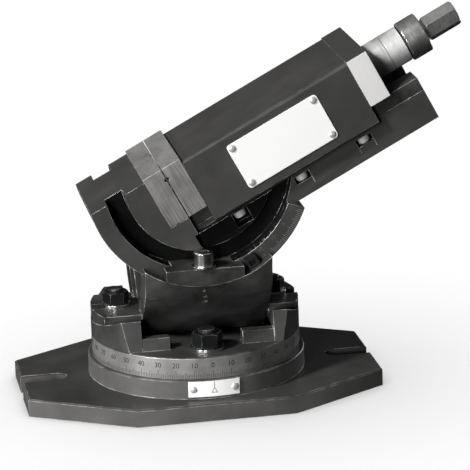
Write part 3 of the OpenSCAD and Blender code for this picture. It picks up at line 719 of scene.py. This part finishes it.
def carved(mesh: bpy.types.Mesh, tools: list[tuple[str, bpy.types.Mesh]]) -> bpy.types.Mesh:
    """Adds solids to a mesh or cuts them from it.

    Args:
        mesh: the mesh to start from, which stays as it is.
        tools: pairs of an operation, UNION or DIFFERENCE, and the solid.

    Returns:
        The new mesh.
    """
    work = placed("work", mesh.copy())
    held = []
    for operation, solid in tools:
        tool = placed("tool", solid)
        held.append(tool)
        step = work.modifiers.new("step", "BOOLEAN")
        step.operation = operation
        step.solver = "EXACT"
        step.object = tool
    bpy.context.view_layer.update()
    made = bpy.data.meshes.new_from_object(work.evaluated_get(bpy.context.evaluated_depsgraph_get()))
    for leftover in (work, *held):
        bpy.data.objects.remove(leftover)
    return made


def evened(mesh: bpy.types.Mesh) -> bpy.types.Mesh:
    """Gives a bevelled mesh normals that stay true on its large flat faces.

    Args:
        mesh: the smooth-shaded mesh, which is used up.

    Returns:
        The mesh with its own normals.
    """
    work = placed("work", mesh)
    step = work.modifiers.new("even", "WEIGHTED_NORMAL")
    step.mode = "FACE_AREA"
    step.weight = 80
    step.keep_sharp = True
    bpy.context.view_layer.update()
    made = bpy.data.meshes.new_from_object(work.evaluated_get(bpy.context.evaluated_depsgraph_get()))
    made.name = mesh.name
    bpy.data.objects.remove(work)
    bpy.data.meshes.remove(mesh)
    return made


# ---- sub-assemblies


@dataclass
class SwivelScale:
    """Graduations and figures round the turntable's bright band."""

    radius: float = 86.4 * MM
    foot: float = 30.4 * MM
    rise: float = 0.4 * MM
    tick_width: float = 0.35 * MM
    short_tick: float = 3.6 * MM
    middle_tick: float = 5.2 * MM
    long_tick: float = 6.6 * MM
    figure_height: float = 4.4 * MM
    figure_level: float = 41.6 * MM
    depth: float = 0.12 * MM

    def build(self) -> None:
        """Makes the ticks and the figures."""
        rows = [(self._place(d), self.foot + self.rise + self._length(d) / 2, self._length(d)) for d in range(360)]
        ticks = ticks_mesh("swivel_scale_ticks", rows, self.tick_width, self.depth)
        add_piece("swivel_scale_ticks", ticks, ETCHED, Body.TURNTABLE)
        marked = [(self._place(d), d) for d in range(-170, 190, 10)]
        figures = figures_mesh("swivel_scale_figures", marked, self.figure_level, self.figure_height, self.depth)
        add_piece("swivel_scale_figures", figures, ETCHED, Body.TURNTABLE)

    def _place(self, degrees: float) -> Matrix:
        """Makes a frame on the band: X along the band, Y up, Z outwards.

        Args:
            degrees: the angle from the front.

        Returns:
            The frame.
        """
        return (
            Matrix.Rotation(math.radians(degrees), 4, "Z")
            @ Matrix.Translation((0.0, -self.radius, 0.0))
            @ Matrix.Rotation(math.pi / 2, 4, "X")
        )

    def _length(self, degree: int) -> float:
        """Length of the tick at a degree."""
        return self.long_tick if degree % 10 == 0 else self.middle_tick if degree % 5 == 0 else self.short_tick


@dataclass
class TiltScale:
    """Graduations on the front of the ring, read at the index block."""

    outer: float = 91.6 * MM
    face: float = 49.8 * MM
    pointer_at: float = -61.0
    first: int = -11
    last: int = 66
    tick_width: float = 0.4 * MM
    short_tick: float = 4.4 * MM
    long_tick: float = 6.2 * MM
    figure_height: float = 3.6 * MM
    figure_radius: float = 81.6 * MM
    depth: float = 0.12 * MM

    def build(self) -> None:
        """Makes the ticks and the figures."""
        readings = range(self.first, self.last + 1)
        rows = [(self._place(r), -(self.outer - self._length(r) / 2), self._length(r)) for r in readings]
        ticks = ticks_mesh("tilt_scale_ticks", rows, self.tick_width, self.depth)
        add_piece("tilt_scale_ticks", ticks, BARE_LINE, Body.VISE)
        marked = [(self._place(r), r) for r in readings if r % 10 == 0]
        figures = figures_mesh("tilt_scale_figures", marked, -self.figure_radius, self.figure_height, self.depth)
        add_piece("tilt_scale_figures", figures, DULL_LINE, Body.VISE)

    def _place(self, reading: float) -> Matrix:
        """Makes a frame on the ring's front: Y outwards along the radius, Z towards the front.

        Args:
            reading: the degree of the scale.

        Returns:
            The frame.
        """
        angle = self.pointer_at - reading
        spin = Matrix.Rotation(-math.radians(angle + 90), 4, "Y")
        return VISE_PLACE @ spin @ Matrix.Translation((0.0, -self.face, 0.0)) @ Matrix.Rotation(math.pi / 2, 4, "X")

    def _length(self, reading: int) -> float:
        """Length of the tick at a reading."""
        return self.long_tick if reading % 5 == 0 else self.short_tick


@dataclass
class IndexMark:
    """The arrow on the index plate of the base."""

    radius: float = 90.9 * MM
    level: float = 21.4 * MM
    side: float = 4.6 * MM
    stroke: float = 0.42 * MM
    line_length: float = 5.2 * MM
    line_middle: float = 5.4 * MM
    depth: float = 0.1 * MM

    def build(self) -> None:
        """Makes the arrow and its line."""
        shape = bmesh.new()
        place = Matrix.Translation((0.0, -self.radius, self.level)) @ Matrix.Rotation(math.pi / 2, 4, "X")
        for turn in (0, 120, 240):
            edge = (
                place
                @ Matrix.Rotation(math.radians(turn), 4, "Z")
                @ Matrix.Translation((0.0, -self.side * 0.29, 0.0))
                @ Matrix.Diagonal((self.side, self.stroke, self.depth, 1.0))
            )
            bmesh.ops.create_cube(shape, size=1.0, matrix=edge)
        line = Matrix.Diagonal((self.stroke, self.line_length, self.depth, 1.0))
        middle = Matrix.Translation((0.0, self.line_middle, 0.0))
        bmesh.ops.create_cube(shape, size=1.0, matrix=place @ middle @ line)
        add_piece("index_arrow", mesh_from(shape, "index_arrow"), ETCHED, Body.BASE)


@dataclass
class BoltThreads:
    """Thread ridges on the bolt ends that stand out of their nuts."""

    name: str
    body: Body
    spots: tuple[tuple[float, float], ...]
    radius: float
    foot: float
    turns: int = 2
    pitch: float = 1.25 * MM

    def build(self) -> None:
        """Winds one ridge round each bolt end."""
        shape = bmesh.new()
        low, high = self.radius - 0.2 * MM, self.radius + 0.12 * MM
        profile = [(low, -0.45), (high, 0.0), (low, 0.45)]
        for x, y in self.spots:
            verts = [shape.verts.new((x + r, y, self.foot + h * self.pitch)) for r, h in profile]
            edges = [shape.edges.new((a, b)) for a, b in zip(verts, verts[1:] + verts[:1])]
            steps = 28 * self.turns
            bmesh.ops.spin(shape, geom=verts + edges, cent=(x, y, 0.0), axis=(0.0, 0.0, 1.0),
                           dvec=(0.0, 0.0, self.pitch * self.turns / steps), angle=math.tau * self.turns,
                           steps=steps, use_merge=False, use_duplicate=False)
        bmesh.ops.holes_fill(shape, edges=shape.edges, sides=3)
        bmesh.ops.recalc_face_normals(shape, faces=shape.faces)
        add_piece(self.name, mesh_from(shape, self.name, smooth=True), BLACKED_BOLT, self.body)


@dataclass
class SoftEdged:
    """A copy of a machined or cast node with its edges broken, in place of the plain node."""

    node: str
    body: Body
    finish: Finish
    edge: float = 0.45 * MM
    segments: int = 2
    least_edge: float = 1.2 * MM

    def build(self) -> None:
        """Copies the node, breaks its long sharp edges and shows the copy."""
        shape = bmesh.new()
        shape.from_mesh(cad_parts[self.node].data)
        join_flush(shape)
        bevel_sharp(shape, self.edge, self.least_edge, self.segments)
        mesh = evened(mesh_from(shape, f"{self.node}_dressed", smooth=True))
        piece = add_piece(f"{self.node}_dressed", mesh, self.finish, self.body)
        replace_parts(piece, self.node)


@dataclass
class RoundedCradle:
    """The cradle, whose cast walls turn inwards in a round sweep instead of at a line."""

    knee_level: float = 90.9 * MM
    slope_below: float = 1.115
    slope_above: float = 0.109
    sweep: float = 15.0 * MM
    steps: int = 12
    outside: float = 38.0 * MM
    screw_out: float = 59.2 * MM
    screw_radius: float = 5.0 * MM
    drill_share: float = 0.43
    hole_facet: float = 15.0 * MM * MM
    edge: float = 0.5 * MM
    least_edge: float = 1.0 * MM

    def build(self) -> None:
        """Sweeps the knees, breaks the edges and shows the copy."""
        shape = bmesh.new()
        shape.from_mesh(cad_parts["cradle"].data)
        join_flush(shape)
        for i in range(self.steps + 1):
            level = self.knee_level + self.sweep * (2 * i / self.steps - 1)
            everything = shape.verts[:] + shape.edges[:] + shape.faces[:]
            bmesh.ops.bisect_plane(shape, geom=everything, plane_co=(0.0, 0.0, level), plane_no=(0.0, 0.0, 1.0),
                                   dist=0.01 * MM)
        for vert in shape.verts:
            vert.co.y -= math.copysign(self._hollow(vert.co), vert.co.y)
        bevel_sharp(shape, self.edge, self.least_edge)
        dressed = evened(mesh_from(shape, "cradle_dressed", smooth=True))
        piece = add_piece("cradle_dressed", dressed, CASTING, Body.CRADLE)
        # The small faces inside the clamp screws' drill holes get a near-black colour: painted shade in the holes.
        dressed.materials.append(DARK_POINTER_AND_HOLE_SHADE.build())
        for face in dressed.polygons:
            near = self._off_screw(face.center) < self.screw_radius * self.drill_share
            face.material_index = 1 if near and face.area < self.hole_facet else 0
        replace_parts(piece, "cradle")

    def _off_screw(self, spot: Vector) -> float:
        """Distance of a place from the axis of the nearer clamp screw."""
        return math.hypot(spot.x, abs(spot.y) - self.screw_out)

    def _hollow(self, spot: Vector) -> float:
        """Finds how far the round sweep lies inside the sharp knee.

        Args:
            spot: a place on the cradle.

        Returns:
            The distance, which is nought off the walls' outsides.
        """
        away = abs(spot.z - self.knee_level)
        if away >= self.sweep or abs(spot.y) < self.outside:
            return 0.0
        return (self.slope_below - self.slope_above) / (4 * self.sweep) * (self.sweep - away) ** 2


@dataclass
class ClampScrews:
    """The clamp screws, whose hidden ends stop where the swept walls begin."""

    end: float = 96.6 * MM

    def build(self) -> None:
        """Copies the screws and lifts their ends."""
        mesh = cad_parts["clamp_screws"].data.copy()
        mesh.name = "clamp_screws_dressed"
        for vert in mesh.vertices:
            vert.co.z = max(vert.co.z, self.end)
        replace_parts(add_piece("clamp_screws_dressed", mesh, BRIGHT, Body.CRADLE), "clamp_screws")


@dataclass
class DomedHeads:
    """Low domed heads of the plates' rivets, in place of the plain cones."""

    node: str
    body: Body
    spots: tuple[Matrix, ...]
    radius: float = 3.1 * MM
    rise: float = 1.3 * MM
    foot: float = -0.5 * MM
    sides: int = 32
    levels: int = 8

    def build(self) -> None:
        """Turns each dome about its own axis."""
        shape = bmesh.new()
        for place in self.spots:
            self._dome(shape, place)
        name = f"{self.node}_dressed"
        piece = add_piece(name, mesh_from(shape, name, smooth=True), HEADS, self.body)
        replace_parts(piece, self.node)

    def _dome(self, shape: bmesh.types.BMesh, place: Matrix) -> None:
        """Adds one dome.

        Args:
            shape: the bmesh to add to.
            place: the dome's frame, with the plate at its origin and Z outwards.
        """
        arc = [math.pi / 2 * i / self.levels for i in range(self.levels)]
        profile = [(self.radius, self.foot)] + [(self.radius * math.cos(a), self.rise * math.sin(a)) for a in arc]
        turns = [math.tau * k / self.sides for k in range(self.sides)]
        rings = [
            [shape.verts.new(place @ Vector((r * math.cos(t), r * math.sin(t), h))) for t in turns] for r, h in profile
        ]
        top = shape.verts.new(place @ Vector((0.0, 0.0, self.rise)))
        for k in range(self.sides):
            after = (k + 1) % self.sides
            for low, high in zip(rings, rings[1:]):
                shape.faces.new((low[k], low[after], high[after], high[k]))
            shape.faces.new((rings[-1][k], rings[-1][after], top))
        shape.faces.new(list(reversed(rings[0])))


def rivet_spots() -> tuple[tuple[Matrix, ...], tuple[Matrix, ...]]:
    """Finds the frames of the rivets on the two plates.

    Returns:
        The frames on the index plate and those on the name plate.
    """
    outwards = Matrix.Rotation(math.pi / 2, 4, "X")
    span = math.asin(17.0 / 90.0)
    index = tuple(
        Matrix.Rotation(side * span, 4, "Z") @ Matrix.Translation((0.0, -90.9 * MM, 23.1 * MM)) @ outwards
        for side in (-1, 1)
    )
    name = tuple(
        VISE_PLACE @ Matrix.Translation((x * MM, -50.1 * MM, z * MM)) @ outwards
        for x in (34.6, 110.2)
        for z in (-27.0, 6.0)
    )
    return index, name


@dataclass
class RingBody:
    """The ring body: beyond the fixed jaw its round face stands back inside the rim, coloured near-black as painted
    shade.
    """

    recess_start: float = -27.0 * MM
    recess_radius: float = 77.3 * MM
    recess_top: float = -41.2 * MM
    recess_face: float = 42.0 * MM
    flush_face: float = 49.8 * MM
    pocket_at: tuple[float, ...] = (72.5 * MM, 131.0 * MM)
    pocket_width: float = 14.0 * MM
    pocket_low: float = -56.8 * MM
    head_low: float = -51.3 * MM
    sill_depth: float = 12.0 * MM
    groove_top: float = 18.5 * MM
    seat_room: float = 13.0 * MM
    edge: float = 0.45 * MM
    least_edge: float = 1.2 * MM

    def build(self) -> None:
        """Carves the copy, breaks its edges, colours the groove and recess near-black as painted shade and shows it.
        """
        tools = [("DIFFERENCE", self._recess(side)) for side in (-1, 1)]
        tools += [("UNION", self._sill(x, side)) for x in self.pocket_at for side in (-1, 1)]
        mesh = carved(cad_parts["vise_body"].data, tools)
        shape = bmesh.new()
        shape.from_mesh(mesh)
        bpy.data.meshes.remove(mesh)
        join_flush(shape)
        bevel_sharp(shape, self.edge, self.least_edge)
        dressed = evened(mesh_from(shape, "vise_body_dressed", smooth=True))
        piece = add_piece("vise_body_dressed", dressed, JAW_CASTING, Body.VISE)
        # The groove and recess faces get the near-black colour: painted shade.
        dressed.materials.append(RECESS_SHADE.build())
        back = VISE_PLACE.inverted()
        for face in dressed.polygons:
            face.material_index = 1 if self._in_painted_shade(back @ face.center) else 0
        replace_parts(piece, "vise_body")

    def _in_painted_shade(self, spot: Vector) -> bool:
        """Tells whether a face lies in the groove or the recess, which get painted shade.

        Args:
            spot: its centre, in the body's own frame.

        Returns:
            Whether it gets the painted shade.
        """
        inside = math.hypot(spot.x, spot.z) < self.recess_radius + 0.2 * MM
        standing_back = abs(spot.y) < self.flush_face - 0.5 * MM
        clear_of_seats = spot.x < self.recess_start - self.seat_room or spot.z < self.recess_top + 0.3 * MM
        return inside and standing_back and clear_of_seats and spot.z < self.groove_top

    def _recess(self, side: int) -> bpy.types.Mesh:
        """Makes the solid that clears one side inside the rim.

        Args:
            side: -1 for the front, 1 for the rear.

        Returns:
            Its mesh.
        """
        low = math.asin(self.recess_top / self.recess_radius)
        high = -math.pi + math.acos(-self.recess_start / self.recess_radius)
        arc = [low + (high - low) * i / 48 for i in range(49)]
        outline = [(self.recess_radius * math.cos(a), self.recess_radius * math.sin(a)) for a in arc]
        outline.append((self.recess_start, self.recess_top))
        shape = bmesh.new()
        rim = [shape.verts.new((x, side * self.recess_face, z)) for x, z in outline]
        face = shape.faces.new(rim)
        grown = bmesh.ops.extrude_face_region(shape, geom=[face])
        moved = [v for v in grown["geom"] if isinstance(v, bmesh.types.BMVert)]
        bmesh.ops.translate(shape, verts=moved, vec=(0.0, side * 12 * MM, 0.0))
        bmesh.ops.recalc_face_normals(shape, faces=shape.faces)
        bmesh.ops.transform(shape, matrix=VISE_PLACE, verts=shape.verts)
        return mesh_from(shape, "recess")

    def _sill(self, x: float, side: int) -> bpy.types.Mesh:
        """Makes the solid that closes a screw pocket below the screw's head.

        Args:
            x: where the pocket is along the bed.
            side: -1 for the front, 1 for the rear.

        Returns:
            Its mesh.
        """
        shape = bmesh.new()
        height = self.head_low - self.pocket_low
        size = Matrix.Diagonal((self.pocket_width + 0.4 * MM, self.sill_depth, height + 0.2 * MM, 1.0))
        level = (self.head_low + self.pocket_low) / 2 - 0.1 * MM
        centre = Vector((x, side * (self.recess_face - self.sill_depth / 2), level))
        bmesh.ops.create_cube(shape, size=1.0, matrix=VISE_PLACE @ Matrix.Translation(centre) @ size)
        return mesh_from(shape, "sill")


@dataclass
class Studio:
    """Camera, lights and floor."""

    azimuth: float = math.radians(-9.62)
    elevation: float = math.radians(15.88)
    roll: float = math.radians(-1.95)
    distance: float = 2.4239
    target: Vector = field(default_factory=lambda: Vector((0.03621, 0.0, 0.12376)))
    focal_px: float = 2931.5
    frame_px: float = 470.0

    def build(self) -> None:
        """Sets everything round the part."""
        self._camera()
        floor = self._floor()
        self._backdrop()
        self._surround()
        self._lamps(floor)

    def _camera(self) -> None:
        """Places the camera as the photograph was taken."""
        back = Vector((
            math.sin(self.azimuth) * math.cos(self.elevation),
            -math.cos(self.azimuth) * math.cos(self.elevation),
            math.sin(self.elevation),
        ))
        right = (-back).cross(Vector((0, 0, 1))).normalized()
        up = right.cross(-back)
        rolled_right = right * math.cos(self.roll) + up * math.sin(self.roll)
        rolled_up = up * math.cos(self.roll) - right * math.sin(self.roll)
        data = bpy.data.cameras.new("camera")
        data.sensor_width = 36.0
        data.lens = self.focal_px / self.frame_px * data.sensor_width
        data.clip_start = 0.1
        data.clip_end = 20.0
        camera = placed("camera", data)
        turn = Matrix((rolled_right, rolled_up, back)).transposed().to_4x4()
        camera.matrix_world = Matrix.Translation(self.target + back * self.distance) @ turn
        bpy.context.scene.camera = camera

    @staticmethod
    def _floor() -> bpy.types.Object:
        """Lays a wide pale floor that throws no light back up.

        Returns:
            The floor.
        """
        shape = bmesh.new()
        bmesh.ops.create_circle(shape, cap_ends=True, radius=6.0, segments=96)
        mesh = mesh_from(shape, "floor")
        floor = placed("floor", mesh)
        paint = bpy.data.materials.new("floor_paint")
        paint.use_nodes = True
        shader = paint.node_tree.nodes["Principled BSDF"]
        shader.inputs["Base Color"].default_value = (0.9, 0.9, 0.9, 1.0)
        shader.inputs["Roughness"].default_value = 0.8
        mesh.materials.append(paint)
        floor.visible_diffuse = False
        floor.visible_glossy = False
        return floor

    @staticmethod
    def _backdrop() -> None:
        """Hangs a pale dome behind everything, which lights nothing and throws no shadow."""
        shape = bmesh.new()
        bmesh.ops.create_icosphere(shape, subdivisions=4, radius=9.0)
        mesh = mesh_from(shape, "backdrop")
        dome = placed("backdrop", mesh)
        paint = bpy.data.materials.new("backdrop_paint")
        paint.use_nodes = True
        shader = paint.node_tree.nodes["Principled BSDF"]
        shader.inputs["Base Color"].default_value = (0.0, 0.0, 0.0, 1.0)
        shader.inputs["Specular IOR Level"].default_value = 0.0
        shader.inputs["Emission Color"].default_value = (1.0, 1.0, 1.0, 1.0)
        shader.inputs["Emission Strength"].default_value = 1.0
        mesh.materials.append(paint)
        dome.visible_diffuse = False
        dome.visible_glossy = False
        dome.visible_transmission = False
        dome.visible_shadow = False

    @staticmethod
    def _surround() -> None:
        """Surrounds the part with a soft gradient, dim low down and bright overhead."""
        world = bpy.data.worlds.new("surround")
        world.use_nodes = True
        tree = world.node_tree
        sky = tree.nodes["Background"]
        split = tree.nodes.new("ShaderNodeSeparateXYZ")
        ramp = tree.nodes.new("ShaderNodeValToRGB")
        ramp.color_ramp.elements[0].position = 0.0
        ramp.color_ramp.elements[0].color = (0.03, 0.03, 0.03, 1.0)
        ramp.color_ramp.elements[1].position = 0.9
        ramp.color_ramp.elements[1].color = (0.35, 0.35, 0.35, 1.0)
        tree.links.new(tree.nodes.new("ShaderNodeTexCoord").outputs["Generated"], split.inputs[0])
        tree.links.new(split.outputs["Z"], ramp.inputs[0])
        tree.links.new(ramp.outputs[0], sky.inputs["Color"])
        sky.inputs["Strength"].default_value = 0.42
        bpy.context.scene.world = world

    def _lamps(self, floor: bpy.types.Object) -> None:
        """Hangs the soft lamps: a key at the upper left, a low fill, one behind, and a wash on the floor alone.

        Args:
            floor: the floor, which the key leaves out and the wash lights.
        """
        wash_only = bpy.data.collections.new("floor_only")
        wash_only.objects.link(floor)
        not_floor = bpy.data.collections.new("all_but_floor")
        not_floor.objects.link(floor)
        not_floor.collection_objects[0].light_linking.link_state = "EXCLUDE"
        wash = self._lamp("wash", "SUN", (0.0, 0.0, 3.0), 3.3, math.radians(120))
        wash.light_linking.receiver_collection = wash_only
        for name, spot, power, size in (
            ("key", (-1.85, -1.05, 1.7), 104.0, 0.45),
            ("front", (-1.15, -2.45, 0.4), 40.0, 0.8),
            ("low_left", (-2.0, -1.2, 0.15), 26.0, 0.4),
            ("back", (2.0, 1.7, 0.25), 18.0, 1.0),
        ):
            lamp = self._lamp(name, "AREA", spot, power, size)
            lamp.light_linking.receiver_collection = not_floor

    @staticmethod
    def _lamp(
        name: str, kind: str, spot: tuple[float, float, float], power: float, size: float
    ) -> bpy.types.Object:
        """Hangs one lamp that looks at the part.

        Args:
            name: its name.
            kind: AREA or SUN.
            spot: where it hangs.
            power: its strength.
            size: the width of an area lamp, or the angle of a sun.

        Returns:
            The lamp.
        """
        data = bpy.data.lights.new(name, kind)
        data.energy = power
        if kind == "AREA":
            data.shape = "DISK"
            data.size = size
        else:
            data.angle = size
        lamp = placed(name, data)
        lamp.location = spot
        lamp.visible_camera = False
        lamp.rotation_mode = "QUATERNION"
        lamp.rotation_quaternion = (Vector((0.03, 0.0, 0.13)) - Vector(spot)).to_track_quat("-Z", "Y")
        return lamp


def dress_nodes() -> None:
    """Gives every CAD node its finish."""
    for finish, names in FINISHED_NODES:
        for name in names.split():
            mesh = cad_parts[name].data
            mesh.materials.clear()
            mesh.materials.append(finish.build())
            log.info("%s: %s", name, finish.name)


def main() -> None:
    """Builds the camera, the finishes and every piece."""
    logging.basicConfig(level=logging.INFO, format="%(message)s")
    bpy.context.scene.view_settings.view_transform = "Standard"
    Studio().build()
    dress_nodes()
    SwivelScale().build()
    TiltScale().build()
    IndexMark().build()
    BoltThreads("swivel_bolt_threads", Body.TURNTABLE, ((0.0, -62 * MM), (0.0, 62 * MM)), 7 * MM, 63.2 * MM).build()
    BoltThreads("lean_bolt_threads", Body.CRADLE, ((-65.5 * MM, 0.0), (65.5 * MM, 0.0)), 6 * MM, 84.9 * MM).build()
    for node, body, finish in (
        ("fixed_jaw_plate", Body.VISE, GROUND_JAW),
        ("movable_jaw_plate", Body.JAW, GROUND_JAW),
        ("thrust_bracket", Body.JAW, BRACKET),
        ("clamp_block_front", Body.CRADLE, CASTING),
        ("clamp_block_rear", Body.CRADLE, CASTING),
        ("movable_jaw", Body.JAW, JAW_CASTING),
        ("guide_rail_front", Body.VISE, RAIL_STEEL),
        ("guide_rail_rear", Body.VISE, RAIL_STEEL),
        ("base_plate", Body.BASE, BASE_CASTING),
        ("turntable", Body.TURNTABLE, TABLE),
    ):
        SoftEdged(node, body, finish).build()
    RoundedCradle().build()
    ClampScrews().build()
    index_spots, name_spots = rivet_spots()
    DomedHeads("index_plate_rivets", Body.BASE, index_spots).build()
    DomedHeads("name_plate_rivets", Body.JAW, name_spots).build()
    RingBody().build()


if __name__ == "__main__":
    main()
